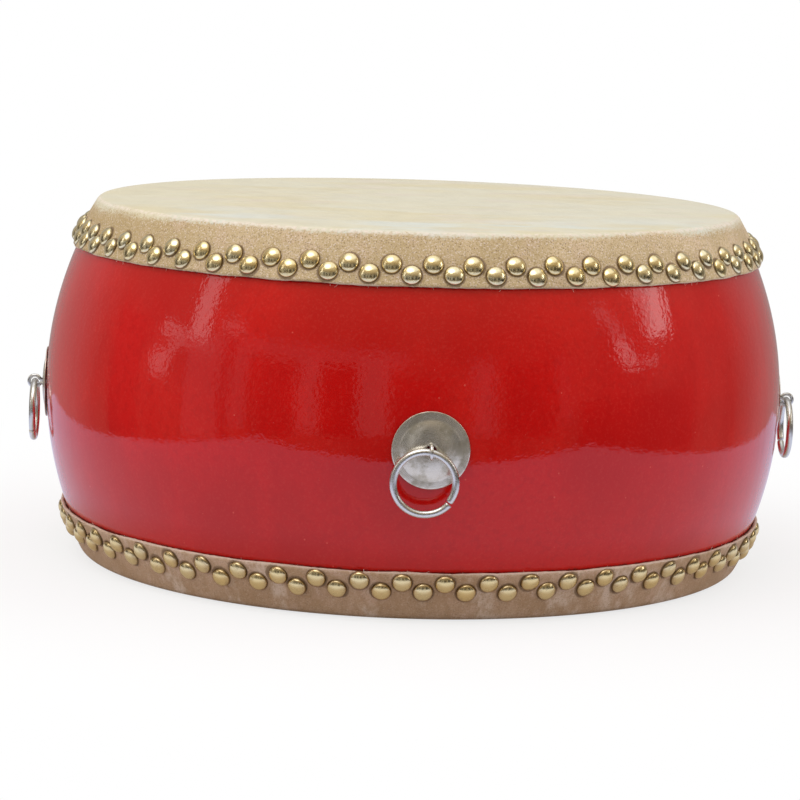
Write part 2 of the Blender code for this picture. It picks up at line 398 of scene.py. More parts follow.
@dataclass(frozen=True)
class RedLacquer:
    """Clear gloss over red: long waves of hand-cut staves, orange peel, dust nibs, and a painted shade line
    along each hem.
    """

    form: DrumForm
    red: Colour = (0.520, 0.0024, 0.0010, 1)
    deep_red: Colour = (0.440, 0.0014, 0.0006, 1)
    nib: Colour = (0.62, 0.07, 0.05, 1)
    # painted shade: the dark red of the thin line along the hems
    dirt: Colour = (0.13, 0.012, 0.008, 1)
    stave_run: Place = (1.0, 1.0, 0.22)
    streak_share: float = 0.15
    mottle: Patches = Patches(560.0, 2.0, 0.6, 0.48, 0.70, 0.11)
    dull: Patches = Patches(240.0, 3.0, 0.6, 0.48, 0.66, 0.6)
    large_nibs: Spots = Spots(62.0, 0.05, 0.5)
    fine_nibs: Spots = Spots(170.0, 0.06, 0.3)
    dirt_reach: float = 0.0016
    hem_wander: float = 0.0022
    wave_depth: float = 0.00020
    peel_depth: float = 0.00010
    nib_depth: float = 0.00006

    def material(self) -> bpy.types.Material:
        """Lays out the lacquer.

        Returns:
            The shell's material.
        """
        made, graph = new_material("red_lacquer")
        staves = graph.place(self.stave_run)
        clouds = graph.times(graph.grain(11.0, 4.0), 1 - self.streak_share)
        streaks = graph.grain(95.0, 3.0, place=staves)
        tone = graph.math("MULTIPLY_ADD", streaks, self.streak_share, clouds)
        colour = graph.mix(graph.fade(tone, 0.38, 0.62), self.deep_red, self.red)
        colour = graph.stain(colour, self.mottle, self.nib)
        colour = graph.stain(colour, self.dull, self.deep_red)
        nibs = graph.math("MAXIMUM", graph.spots(self.large_nibs), graph.spots(self.fine_nibs))
        colour = graph.mark(colour, nibs, 0.75, self.nib)
        # painted shade: the red darkens within a couple of millimetres of each hide's hem
        dirt = graph.fade(self.hem_distance(graph), self.dirt_reach, 0.0, 0.0, 0.85)
        colour = graph.mix(dirt, colour, self.dirt)
        higher_up = graph.fade(graph.axis(2), 0.08, 0.15, 0.35, 1.25)
        normal = graph.relief(
            (graph.grain(17.0, 1.0, place=staves), self.wave_depth),
            (graph.grain(60.0), self.wave_depth / 5),
            (graph.times(graph.grain(310.0), higher_up), self.peel_depth),
            (nibs, self.nib_depth),
        )
        coat = {"Coat Weight": 1.0, "Coat Roughness": 0.05, "Coat IOR": 1.46, "Coat Normal": normal}
        graph.surface(colour, 0.5, {"Specular IOR Level": 0.05, "Normal": normal, **coat})
        return made

    def hem_distance(self, graph: Graph) -> Socket:
        """How far a point lies from the nearer hide's hem, made uneven.

        Args:
            graph: The material's graph.

        Returns:
            The distance.
        """
        middle = self.form.height / 2
        away = graph.math("ABSOLUTE", graph.less(graph.axis(2), middle))
        clear = graph.less(middle - self.form.skirt_depth, away)
        return graph.math("ADD", clear, graph.wander(self.hem_wander, 230.0, 3.0, 0.65))


@dataclass(frozen=True)
class SkirtTone:
    """How a hide's skirt looks: its two ground colours, and how much of each mark shows."""

    light: Colour
    dark: Colour
    clouds: float
    bloom: float
    pale: float
    speckle: float
    pores: float


SKIRT_TONES = {
    Mouth.TOP: SkirtTone((0.585, 0.435, 0.255, 1), (0.40, 0.280, 0.118, 1), 0.5, 0.24, 0.65, 0.85, 0.6),
    # painted shade: the lower hide's grounds are darker than the upper's for the shade near the floor; their
    # pinker hue is the hide's own
    Mouth.BOTTOM: SkirtTone((0.475, 0.310, 0.200, 1), (0.365, 0.220, 0.115, 1), 0.7, 0.5, 0.2, 0.35, 0.35),
}


@dataclass(frozen=True)
class Rawhide:
    """Scraped cowhide: cream and smooth on the face, tan and full of pores down the skirt."""

    form: DrumForm
    mouth: Mouth
    cream: Colour = (0.640, 0.605, 0.475, 1)
    straw: Colour = (0.635, 0.560, 0.365, 1)
    blush: Colour = (0.650, 0.575, 0.485, 1)
    chalk: Colour = (0.620, 0.645, 0.590, 1)
    freckle: Colour = (0.40, 0.280, 0.118, 1)
    # pale colour of the skirt's flecks and of the painted highlight on the ridge
    crest: Colour = (0.76, 0.65, 0.56, 1)
    rosy: Colour = (0.60, 0.41, 0.32, 1)
    worn: Colour = (0.63, 0.485, 0.385, 1)
    # dark of the hair pores, and of the painted shade round the nails
    pore: Colour = (0.17, 0.10, 0.05, 1)
    cut: Colour = (0.66, 0.51, 0.43, 1)
    straw_clouds: Patches = Patches(7.0, 5.0, 0.6, 0.42, 0.66, 0.8, ACROSS)
    blush_clouds: Patches = Patches(12.0, 4.0, 0.6, 0.50, 0.70, 0.7, ACROSS)
    chalk_clouds: Patches = Patches(9.5, 5.0, 0.65, 0.42, 0.62, 1.0, ACROSS)
    fibres: Patches = Patches(1.0, 4.0, 0.7, 0.48, 0.72, 0.22, (60.0, 420.0, 60.0))
    freckles: Spots = Spots(75.0, 0.06, 0.2)
    worn_patches: Patches = Patches(38.0, 4.0, 0.65, 0.51, 0.66, 0.85, (1.0, 1.0, 0.4))
    streaks: Patches = Patches(300.0, 3.0, 0.6, 0.44, 0.66, 0.5, (1.0, 1.0, 0.12))
    crest_flecks: Patches = Patches(420.0, 3.0, 0.65, 0.40, 0.60)
    pores: Spots = Spots(640.0, 0.34, 0.55)
    pucker_depth: float = 0.00025
    grain_depth: float = 0.00009
    pore_depth: float = 0.00006

    def face_colour(self, graph: Graph) -> Socket:
        """Colour of the drum face: cream with straw and chalky clouds, faint veins and a few freckles.

        Args:
            graph: The material's graph.

        Returns:
            The colour.
        """
        colour = graph.stain(self.cream, self.straw_clouds, self.straw)
        colour = graph.stain(colour, self.blush_clouds, self.blush)
        colour = graph.mix(graph.fade(graph.axis(0), -0.04, -0.20, 0.0, 0.35), colour, self.straw)
        near = graph.fade(graph.axis(1), -0.04, -0.19, 0.15, 0.9)
        colour = graph.mark(colour, graph.patches(self.chalk_clouds), near, self.chalk)
        colour = graph.stain(colour, self.fibres, self.straw)
        return graph.mark(colour, graph.spots(self.freckles), 0.4, self.freckle)

    def skirt_colour(self, graph: Graph) -> Socket:
        """Colour of the skirt: tan with brown clouds, a rosy bloom and dense hair pores.

        Args:
            graph: The material's graph.

        Returns:
            The colour.
        """
        tone = SKIRT_TONES[self.mouth]
        colour = graph.stain(tone.light, Patches(27.0, 4.0, 0.6, 0.40, 0.64, tone.clouds), tone.dark)
        if self.mouth is Mouth.TOP:
            colour = graph.mix(graph.fade(graph.axis(0), -0.08, -0.20, 0.0, 0.80), colour, tone.dark)
        colour = graph.stain(colour, Patches(52.0, 3.0, 0.5, 0.50, 0.66, tone.bloom), self.rosy)
        if self.mouth is Mouth.BOTTOM:
            colour = graph.stain(colour, self.worn_patches, self.worn)
            colour = graph.stain(colour, self.streaks, tone.dark)
            aside = graph.math("ABSOLUTE", graph.axis(0))
            colour = graph.mix(graph.fade(aside, 0.14, 0.24, 0.0, 0.35), colour, tone.dark)
        colour = graph.stain(colour, Patches(950.0, 2.0, 0.6, 0.52, 0.66, tone.pale), self.crest)
        colour = graph.stain(colour, Patches(880.0, 2.0, 0.65, 0.51, 0.63, tone.speckle), tone.dark)
        return graph.mark(colour, graph.spots(self.pores), tone.pores, self.pore)

    def skirt_share(self, graph: Graph, depth: Socket) -> Socket:
        """Where the hide has the skirt's colour: raggedly on the upper one, evenly on the lower.

        Args:
            graph: The material's graph.
            depth: Distance from the drum face, along the axis.

        Returns:
            0 on the face and 1 on the skirt.
        """
        if self.mouth is Mouth.BOTTOM:
            return graph.fade(depth, 0.0001, 0.0008)
        front = graph.fade(graph.axis(1), -0.10, -0.20, 0.75, 1.6)
        steady = graph.math("ADD", graph.times(depth, front), graph.wander(0.004, 16.0, 2.0))
        ragged = graph.math("ADD", steady, graph.wander(0.008, 520.0, 3.0, 0.7))
        return graph.times(graph.fade(ragged, 0.0010, 0.0062), graph.fade(depth, 0.00002, 0.00045))

    def nail_grime(self, graph: Graph, depth: Socket) -> Socket:
        """Where shade is painted round the foot of a nail, as a dark ring on the hide.

        Args:
            graph: The material's graph.
            depth: Distance from the drum face, along the axis.

        Returns:
            1 at the foot of a nail and 0 away from it.
        """
        form, turn = self.form, graph.azimuth()
        distances = []
        for row in Row:
            level = form.level(self.mouth, form.row_depth(row))
            pitch = form.nail_pitch * form.radius(level, form.hide_offset)
            places = graph.math("DIVIDE", graph.less(turn, form.row_start(row)), form.nail_pitch)
            across = graph.times(graph.math("WRAP", places, 0.5, -0.5), pitch)
            rise = graph.less(depth, form.row_depth(row))
            along = graph.math("DIVIDE", rise, math.cos(form.slope(level)))
            square = graph.math("MULTIPLY_ADD", across, across, graph.times(along, along))
            distances.append(graph.math("SQRT", square))
        foot = form.nail_diameter / 2
        away = graph.math("ADD", graph.math("MINIMUM", *distances), graph.wander(0.0006, 330.0, 3.0, 0.65))
        return graph.fade(away, foot + 0.0011, foot + 0.0001)

    def material(self) -> bpy.types.Material:
        """Lays out the hide, which changes at the ridge and at the cut edge. A highlight is painted along
        the upper hide's ridge, and shade round the foot of each nail.

        Returns:
            The hide's material.
        """
        made, graph = new_material(f"cowhide_{self.mouth.label}")
        face = self.form.level(self.mouth, 0.0)
        depth = graph.times(graph.less(face, graph.axis(2)), float(self.mouth.value))
        skirt = self.skirt_share(graph, depth)
        colour = graph.mix(skirt, self.face_colour(graph), self.skirt_colour(graph))
        if self.mouth is Mouth.TOP:
            # painted highlight: a pale, flecked band along the upper hide's ridge
            ridge_highlight_band = graph.times(graph.fade(depth, 0.0002, 0.0010), graph.fade(depth, 0.0032, 0.0014))
            crest = graph.times(ridge_highlight_band, graph.patches(self.crest_flecks))
            colour = graph.mark(colour, crest, 0.75, self.crest)
        # painted shade: a dark ring on the hide round the foot of each nail
        colour = graph.mark(colour, self.nail_grime(graph, depth), 0.75, self.pore)
        edge = self.form.skirt_depth
        torn = graph.math("MULTIPLY_ADD", graph.grain(420.0), 0.0012, depth)
        colour = graph.mark(colour, graph.fade(torn, edge + 0.0001, edge + 0.0006), 0.6, self.cut)
        pores = graph.times(graph.spots(self.pores), skirt)
        normal = graph.relief(
            (graph.grain(55.0, 3.0), self.pucker_depth),
            (graph.grain(520.0, 3.0, 0.65), self.grain_depth),
            (graph.less(1.0, pores), self.pore_depth),
        )
        rough = graph.fade(graph.grain(70.0, 3.0), 0.3, 0.7, 0.46, 0.62)
        graph.surface(colour, rough, {"Specular IOR Level": 0.35, "IOR": 1.45, "Normal": normal})
        return made


@dataclass(frozen=True)
class HideFibre:
    """The pale fibres that fray from a cut hide."""

    pale: Colour = (0.82, 0.74, 0.66, 1)
    dark: Colour = (0.62, 0.50, 0.38, 1)
    tone: Patches = Patches(300.0, 2.0, 0.5, 0.4, 0.6)

    def material(self) -> bpy.types.Material:
        """Lays out the fibres.

        Returns:
            The fibres' material.
        """
        made, graph = new_material("hide_fibre")
        graph.surface(graph.stain(self.dark, self.tone, self.pale), 0.7, {})
        return made


@dataclass(frozen=True)
class PolishedBrass:
    """Pressed brass domes, each with its own tone, tarnished round the foot and lightly scratched. Where
    asked, a tan film of dust and painted reflection, for the shaded floor, lies over the lower dome.
    """

    name: str
    gold: Colour
    pale: Colour
    filmed: float
    tarnish: Colour = (0.20, 0.125, 0.05, 1)
    film: Colour = (0.50, 0.36, 0.25, 1)
    blotches: Patches = Patches(260.0, 4.0, 0.65, 0.50, 0.74)
    scratch_run: Place = (300.0, 300.0, 2600.0)

    def material(self) -> bpy.types.Material:
        """Lays out the brass. It reads the nail map: a number per nail, and the height up its dome.

        Returns:
            The nails' material.
        """
        made, graph = new_material(self.name)
        nail_map = graph.add("UVMap", uv_map="nail_map").outputs[0]
        number, rise, _ = graph.add("SeparateXYZ", {0: nail_map}).outputs
        blotch = graph.patches(self.blotches)
        # dust and painted reflection: a tan film over the lower dome, for the shaded floor that the nails
        # reflect
        low_dust_and_reflection = graph.math("MULTIPLY_ADD", blotch, -0.20, rise)
        colour = graph.mix(number, self.gold, self.pale)
        colour = graph.mix(graph.fade(low_dust_and_reflection, 0.85, 0.25, 0.0, self.filmed), colour, self.film)
        foot = graph.fade(graph.math("MULTIPLY_ADD", blotch, -0.10, rise), 0.32, 0.12)
        grime = graph.math("MAXIMUM", graph.times(foot, 0.9), graph.times(blotch, 0.2))
        colour = graph.mix(grime, colour, self.tarnish)
        scratch = graph.grain(1.0, place=graph.place(self.scratch_run))
        rough = graph.math("MULTIPLY_ADD", grime, 0.25, graph.fade(scratch, 0.35, 0.7, 0.17, 0.27))
        normal = graph.relief((graph.grain(330.0), 0.00010), (scratch, 0.000006))
        graph.surface(colour, rough, {"Metallic": 1.0, "Normal": normal})
        return made


class SteelWork(Enum):
    """How a steel piece was worked, which sets the run of its fine scratches."""

    PRESSED_PLATE = "pressed_plate"
    DRAWN_WIRE = "drawn_wire"


@dataclass(frozen=True)
class StainlessSteel:
    """Stainless steel with handling marks: turned scratches on a plate, fine nicks on wire."""

    work: SteelWork
    clean: Colour
    soiled: Colour
    stain: float
    smooth: float
    scratched: float
    dent_depth: float
    metal: float
    smears: Patches = Patches(80.0, 4.0, 0.6, 0.42, 0.68)

    def scratches(self, graph: Graph) -> Socket:
        """The fine scratches: rings about a plate's middle, or short nicks in wire.

        Args:
            graph: The material's graph.

        Returns:
            The pattern's value.
        """
        if self.work is SteelWork.DRAWN_WIRE:
            return graph.grain(1500.0)
        squares = [graph.math("POWER", graph.axis(number), 2.0) for number in (0, 2)]
        out = graph.math("SQRT", graph.math("ADD", *squares))
        turned = graph.add("CombineXYZ", {0: graph.times(out, 2600.0)}).outputs[0]
        return graph.grain(1.0, 3.0, place=turned)

    def material(self) -> bpy.types.Material:
        """Lays out the steel.

        Returns:
            The steel's material.
        """
        made, graph = new_material(f"steel_{self.work.value}")
        smears, scratch = graph.patches(self.smears), self.scratches(graph)
        colour = graph.mark(self.clean, smears, self.stain, self.soiled)
        worn = graph.fade(scratch, 0.3, 0.7, self.smooth, self.scratched)
        rough = graph.math("MULTIPLY_ADD", smears, 0.08, worn)
        normal = graph.relief((graph.grain(150.0), self.dent_depth), (scratch, 0.000008))
        graph.surface(colour, rough, {"Metallic": self.metal, "Normal": normal})
        return made


def link_object(name: str, data: bpy.types.ID) -> bpy.types.Object:
    """Puts new data into the scene.

    Args:
        name: The object's name.
        data: Its mesh, curve, lamp or camera.

    Returns:
        The object.
    """
    made = bpy.data.objects.new(name, data)
    bpy.context.scene.collection.objects.link(made)
    return made


def add_object(name: str, bm: bmesh.types.BMesh, finish: bpy.types.Material) -> bpy.types.Object:
    """Turns a bmesh into a smooth shaded object.

    Args:
        name: The object's name.
        bm: Its mesh, which is freed.
        finish: Its material.

    Returns:
        The object.
    """
    mesh = bpy.data.meshes.new(name)
    bm.to_mesh(mesh)
    bm.free()
    mesh.shade_smooth()
    mesh.materials.append(finish)
    return link_object(name, mesh)


def mount_piece(piece: bpy.types.Object, body: str, slot: str, stands_for: Sequence[str] = ()) -> None:
    """Ties a piece to its body, hides the solids that it stands for, and reports it with its material slot.

    Args:
        piece: The piece, in place.
        body: The body that it rides on.
        slot: The name of its material slot, which is only reported.
        stands_for: The nodes that it replaces.
    """
    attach(piece, body)
    if stands_for:
        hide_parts(*stands_for)
    LOG.info("%s rides on %s, in %s, for %d nodes", piece.name, body, slot, len(stands_for))


def join_rings(bm: bmesh.types.BMesh, rings: Corners, closed: bool = False) -> list[bmesh.types.BMFace]:
    """Spans a row of rings with faces.

    Args:
        bm: The mesh.
        rings: The corners of each ring. A ring with one corner is a tip.
        closed: Whether the last ring joins the first.

    Returns:
        The faces, ring by ring.
    """
    sides = max(len(ring) for ring in rings)
    faces = []
    for here, there in zip(rings, rings[1:] + rings[:1] if closed else rings[1:]):
        for side in range(sides):
            after = (side + 1) % sides
            steps = ((here, side), (here, after), (there, after), (there, side))
            corners = [ring[step % len(ring)] for ring, step in steps]
            faces.append(bm.faces.new(list(dict.fromkeys(corners))))
    return faces


def turned_mesh(
    profile: Sequence[Point],
    segments: int,
    closed: bool,
    shift: Callable[[int, float], Point] | None = None,
) -> bmesh.types.BMesh:
    """Turns a profile about the drum's axis.

    Args:
        profile: (radius, height) points, outside first from the top or from the axis.
        segments: Steps in the full turn.
        closed: Whether the profile is a loop. An open one starts and ends on the axis.
        shift: Gives the (radius, height) change of a profile point, by its index, at an azimuth.

    Returns:
        The mesh, with its faces pointing out.
    """
    bm = bmesh.new()
    rings: Corners = []
    for index, (radius, height) in enumerate(profile):
        ring = []
        for azimuth in turns(segments if radius > ON_AXIS else 1):
            out, up = shift(index, azimuth) if shift else (0.0, 0.0)
            ring.append(bm.verts.new(about_axis(radius + out, azimuth, height + up)))
        rings.append(ring)
    join_rings(bm, rings, closed)
    bmesh.ops.recalc_face_normals(bm, faces=bm.faces)
    return bm


def tube_mesh(path: Sequence[Vector], radius: float, sides: int, chamfer: float) -> bmesh.types.BMesh:
    """A round wire along a path, with flat chamfered ends.

    Args:
        path: The centre line. It stays in one plane, as bent wire does.
        radius: The wire's radius.
        sides: Facets round the wire.
        chamfer: How much the ends' corners are broken.

    Returns:
        The closed mesh.
    """
    bm = bmesh.new()
    bends = [(b - a).cross(c - b) for a, b, c in zip(path, path[1:], path[2:])]
    side_axis = max(bends, key=lambda bend: bend.length).normalized()
    ways = [after - before for before, after in zip([path[0], *path[:-1]], [*path[1:], path[-1]])]
    stations = [(point, way.normalized(), radius) for point, way in zip(path, ways)]
    (first, first_way, _), (last, last_way, _) = stations[0], stations[-1]
    stations.insert(0, (first - first_way * chamfer, first_way, radius - chamfer))
    stations.append((last + last_way * chamfer, last_way, radius - chamfer))
    rings: Corners = []
    for point, way, size in stations:
        up_axis = side_axis.cross(way).normalized()
        outs = [math.cos(angle) * side_axis + math.sin(angle) * up_axis for angle in turns(sides)]
        rings.append([bm.verts.new(point + size * out) for out in outs])
    join_rings(bm, rings)
    bm.faces.new(rings[0][::-1])
    bm.faces.new(rings[-1])
    bmesh.ops.recalc_face_normals(bm, faces=bm.faces)
    return bm


@dataclass
class LacqueredShell:
    """The barrel, whose staves show only as a faint waviness under the lacquer."""

    form: DrumForm
    stave_count: int = 28
    segments: int = 560
    bow_steps: int = 64
    bore_steps: int = 12
    rounding_steps: int = 5
    seam_depth: float = 0.00006
    seam_width: float = 0.035
    hollow: float = 0.00008
    hand_wave: float = 0.00022
    pin_hole_radius: float = 0.00295

    def profile(self) -> list[Point]:
        """The wall's closed outline: bow and rounded mouths outside, bore inside.

        Returns:
            (radius, height) points.
        """
        form = self.form
        top = form.rounding(Mouth.TOP, 0.0, self.rounding_steps)
        bottom = form.rounding(Mouth.BOTTOM, 0.0, self.rounding_steps)[::-1]
        bow = form.wall_line(spread(top[-1][1], bottom[0][1], self.bow_steps))[1:-1]
        ends = [form.level(mouth, form.hide_offset) for mouth in (Mouth.BOTTOM, Mouth.TOP)]
        return top + bow + bottom + form.wall_line(spread(*ends, self.bore_steps), -form.wall)

    def stave_relief(self, azimuth: float) -> float:
        """How far the wall lies inside its circle: a soft hollow per stave, a fine dip per seam.

        Args:
            azimuth: Angle about the drum's axis.

        Returns:
            The change of radius.
        """
        number, share = divmod(azimuth * self.stave_count / math.tau, 1.0)
        hand = 0.5 + noise.noise(Vector((number * 3.7, 1.3, 0.0)))
        seam = bell(min(share, 1 - share), 0.0, self.seam_width)
        return -self.hollow * hand * math.sin(math.pi * share) ** 2 - self.seam_depth * seam

    def drill(self, shell: bpy.types.Object, finish: bpy.types.Material) -> None:
        """Drills the shell for the eye pins.

        Args:
            shell: The shell.
            finish: The lacquer, which runs into the holes.
        """
        bits = bmesh.new()
        reach = Matrix.Translation((0.0, -self.form.belly_radius, self.form.ring_set_height))
        lay = Matrix.Rotation(math.pi / 2, 4, "X")
        for side in RingSide:
            bmesh.ops.create_cone(
                bits,
                cap_ends=True,
                segments=20,
                radius1=self.pin_hole_radius,
                radius2=self.pin_hole_radius,
                depth=4 * self.form.wall,
                matrix=Matrix.Rotation(side.azimuth, 4, "Z") @ reach @ lay,
            )
        bit = add_object("pin_drill", bits, finish)
        cut = shell.modifiers.new("pin_holes", "BOOLEAN")
        cut.operation = "DIFFERENCE"
        cut.solver = "EXACT"
        cut.object = bit
        bpy.context.view_layer.update()
        evaluated = shell.evaluated_get(bpy.context.evaluated_depsgraph_get())
        drilled = bpy.data.meshes.new_from_object(evaluated)
        shell.modifiers.clear()
        shell.data = drilled
        bpy.data.objects.remove(bit)

    def build(self, finish: bpy.types.Material) -> None:
        """Makes the shell.

        Args:
            finish: The lacquer.
        """
        profile = self.profile()
        outside = len(profile) - self.bore_steps - 1

        def shift(index: int, azimuth: float) -> Point:
            """Gives the outside, and not the bore, the staves' relief and the waves of hand planing.

            Args:
                index: The profile point.
                azimuth: Angle about the drum's axis.

            Returns:
                Its change of radius and of height.
            """
            if index >= outside:
                return 0.0, 0.0
            height = profile[index][1]
            place = Vector(about_axis(1.0, azimuth, 1.6 * height / self.form.belly_radius))
            clear = smooth_share(min(height, self.form.height - height), 0.03, 0.06)
            return self.stave_relief(azimuth) + self.hand_wave * clear * noise.noise(place * 2.6), 0.0

        shell = add_object("lacquered_shell", turned_mesh(profile, self.segments, True, shift), finish)
        self.drill(shell, finish)
        staves = sorted(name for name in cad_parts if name.startswith("stave_"))
        mount_piece(shell, "drum", "red_lacquered_wood", staves)


@dataclass
class StretchedHide:
    """One hide: flat face, rounded ridge, and a skirt pulled down the wall and held by nails."""

    form: DrumForm
    mouth: Mouth
    segments: int = 672
    rounding_steps: int = 10
    skirt_steps: int = 16
    pucker: float = 0.00045
    nail_press: float = 0.00016
    edge_wander: float = 0.0008
    edge_fray: float = 0.00025
    edge_nose: float = 0.0006
    face_rings: tuple[float, ...] = (0.03, 0.08, 0.13, 0.175, 0.205)

    def profile(self) -> list[Point]:
        """The hide's outline, from the middle of the face round the cut edge to the middle inside.

        Returns:
            (radius, height) points.
        """
        form = self.form
        ridge = form.rounding(self.mouth, form.hide_offset, self.rounding_steps)
        inner_ridge = form.rounding(self.mouth, form.hide_clearance, self.rounding_steps)
        edge = form.level(self.mouth, form.skirt_depth)
        skirt = form.wall_line(spread(ridge[-1][1], edge, self.skirt_steps), form.hide_offset)
        middle = (form.hide_offset + form.hide_clearance) / 2
        nose = [(form.radius(edge, middle), edge - self.mouth.value * self.edge_nose)]
        inner_skirt = form.wall_line(spread(edge, inner_ridge[-1][1], 3), form.hide_clearance)
        face, inside = ridge[0][1], inner_ridge[0][1]
        flat = [(0.0, face)] + [(r, face) for r in self.face_rings]
        return flat + ridge + skirt[1:] + nose + inner_skirt[:-1] + inner_ridge[::-1] + [(0.0, inside)]

    def pull(self, azimuth: float, down: float) -> Point:
        """How the nails shape the skirt.

        Args:
            azimuth: Angle about the drum's axis.
            down: Share of the way from the ridge to the cut edge.

        Returns:
            Change of radius, and change of depth.
        """
        form = self.form
        round_place = Vector((math.cos(azimuth), math.sin(azimuth), 0.0)) * form.belly_radius
        phase = (azimuth - form.nail_phase) / form.nail_pitch - 0.25
        seed = Vector((0.0, 0.0, 5.0 * self.mouth.value))
        between = 0.5 + 0.5 * math.cos(math.tau * (phase + 0.25))
        loose = 0.5 + noise.noise(round_place * 28 + seed)
        flare = self.pucker * smooth_share(down, 0.72, 1.0) * (0.35 + 0.65 * between) * (0.4 + loose)
        strain = bell(down, 0.45, 0.16) * math.cos(math.tau * phase)
        out = flare + self.nail_press * (strain - 0.6 * bell(down, 0.62, 0.2))
        wander = self.edge_wander * noise.noise(round_place * 34 + seed * 2)
        fray = self.edge_fray * noise.noise(round_place * 380 + seed * 3)
        return out, (wander + fray) * smooth_share(down, 0.80, 1.0)

    def build(self, finish: bpy.types.Material) -> None:
        """Makes the hide.

        Args:
            finish: The rawhide.
        """
        profile = self.profile()
        ridge_level = profile[len(self.face_rings) + self.rounding_steps + 1][1]
        edge = self.form.level(self.mouth, self.form.skirt_depth)
        last_inner = len(profile) - self.rounding_steps - 2

        def shift(index: int, azimuth: float) -> Point:
            """Moves the points of the skirt, inside and outside alike.

            Args:
                index: The profile point.
                azimuth: Angle about the drum's axis.

            Returns:
                Its change of radius and of height.
            """
            if index <= len(self.face_rings) or index >= last_inner:
                return 0.0, 0.0
            down = (profile[index][1] - ridge_level) / (edge - ridge_level)
            out, deeper = self.pull(azimuth, min(1.0, max(0.0, down)))
            return out * smooth_share(down, 0.0, 0.3), -self.mouth.value * deeper

        turned = turned_mesh(profile, self.segments, False, shift)
        hide = add_object(f"{self.mouth.label}_hide", turned, finish)
        mount_piece(hide, "drum", "cowhide", [f"{self.mouth.label}_head"])


@dataclass
class FrayedEdge:
    """Loose fibres that stand out from the cut edge of a hide and lie over the lacquer."""

    form: DrumForm
    mouth: Mouth
    count: int = 110
    steps: int = 7
    shortest: float = 0.0010
    longest: float = 0.0056
    thickness: float = 0.00013
    root_depth: float = 0.0006

    def build(self, finish: bpy.types.Material) -> None:
        """Makes the fibres as one curve object.

        Args:
            finish: The fibres' material.
        """
        form = self.form
        draw = random.Random(11 + self.mouth.value)
        name = f"{self.mouth.label}_hide_fibres"
        curve = bpy.data.curves.new(name, "CURVE")
        curve.dimensions = "3D"
        curve.bevel_depth = self.thickness
        curve.bevel_resolution = 1
        curve.use_fill_caps = True
        edge = form.level(self.mouth, form.skirt_depth)
        for _ in range(self.count):
            azimuth = draw.uniform(0.0, math.tau)
            length = draw.uniform(self.shortest, self.longest) * draw.uniform(0.5, 1.0)
            lean, curl = draw.uniform(-1.2, 1.2), draw.uniform(-2.0, 2.0)
            lift = form.hide_clearance + draw.uniform(0.0002, 0.0018)
            spline = curve.splines.new("POLY")
            spline.points.add(self.steps)
            side, down = 0.0, -self.root_depth
            for point, share in zip(spline.points, spread(0.0, 1.0, self.steps)):
                height = edge - self.mouth.value * down
                radius = form.radius(height, lift * (1 - 0.5 * share) + self.thickness)
                point.co = (*about_axis(radius, azimuth + side / radius, height), 1.0)
                point.radius = 1.0 - 0.7 * share
                way = lean + curl * share
                side += math.sin(way) * length / self.steps
                down += math.cos(way) * length / self.steps
        curve.materials.append(finish)
        mount_piece(link_object(name, curve), "drum", "cowhide")


